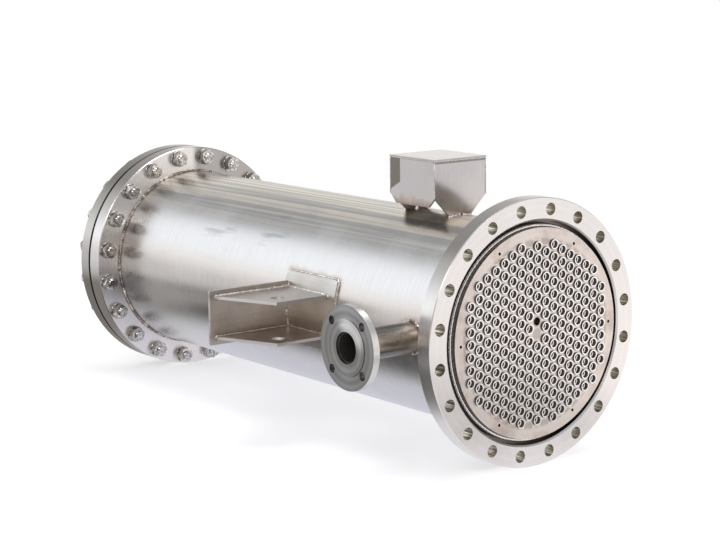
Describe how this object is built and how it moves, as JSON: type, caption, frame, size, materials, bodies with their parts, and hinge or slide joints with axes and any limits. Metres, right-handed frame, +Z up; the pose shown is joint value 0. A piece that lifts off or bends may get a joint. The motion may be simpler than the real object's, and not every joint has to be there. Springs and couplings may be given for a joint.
{
  "type": "shell and tube heat exchanger",
  "caption": "Horizontal shell and tube heat exchanger with an open tubesheet end, a bolted blind rear cover, side nozzles, side lugs and a small box on top.",
  "frame": {"origin": "on the underside of the near lug's lower plate, level with the middle of its bolt hole across the shell, between that hole and the lug's base plate", "axes": "+X along the shell towards the open tube end, +Y from the near nozzle's side to the far side, +Z up"},
  "size_m": [1.2925, 0.788, 0.577],
  "materials": {
    "brushed_shell": "satin",
    "machined_steel": "satin",
    "tubesheet_steel": "satin",
    "weld_bead": "matte",
    "pipe_steel": "satin",
    "plate_steel": "satin",
    "box_steel": "satin",
    "tube_steel": "satin",
    "gasket_rubber": "matte"
  },
  "bodies": {
    "root": {"shell_barrel": "brushed_shell", "front_flange": "machined_steel", "front_flange_weld": "weld_bead", "front_tubesheet": "tubesheet_steel", "rear_tubesheet": "tubesheet_steel", "rear_flange": "machined_steel", "rear_flange_weld": "weld_bead", "rear_gasket": "gasket_rubber", "rear_cover": "machined_steel", "near_nozzle_pipe": "pipe_steel", "far_nozzle_pipe": "pipe_steel", "near_nozzle_flange": "machined_steel", "far_nozzle_flange": "machined_steel", "near_lug_pad": "plate_steel", "near_lug_base_plate": "plate_steel", "near_lug_upper_plate": "plate_steel", "near_lug_lower_plate": "plate_steel", "far_lug_pad": "plate_steel", "far_lug_base_plate": "plate_steel", "far_lug_upper_plate": "plate_steel", "far_lug_lower_plate": "plate_steel", "box_near_plate": "box_steel", "box_far_plate": "box_steel", "box_front_plate": "box_steel", "box_rear_plate": "box_steel", "box_cap": "box_steel", "tube_column_01": "tube_steel", "tube_column_02": "tube_steel", "tube_column_03": "tube_steel", "tube_column_04": "tube_steel", "tube_column_05": "tube_steel", "tube_column_06": "tube_steel", "tube_column_07": "tube_steel", "tube_column_08": "tube_steel", "tube_column_09": "tube_steel", "tube_column_10": "tube_steel", "tube_column_11": "tube_steel", "tube_column_12": "tube_steel", "tube_column_13": "tube_steel", "tube_column_14": "tube_steel", "tube_column_15": "tube_steel", "tube_column_16": "tube_steel", "tube_column_17": "tube_steel"}
  },
  "joints": []
}
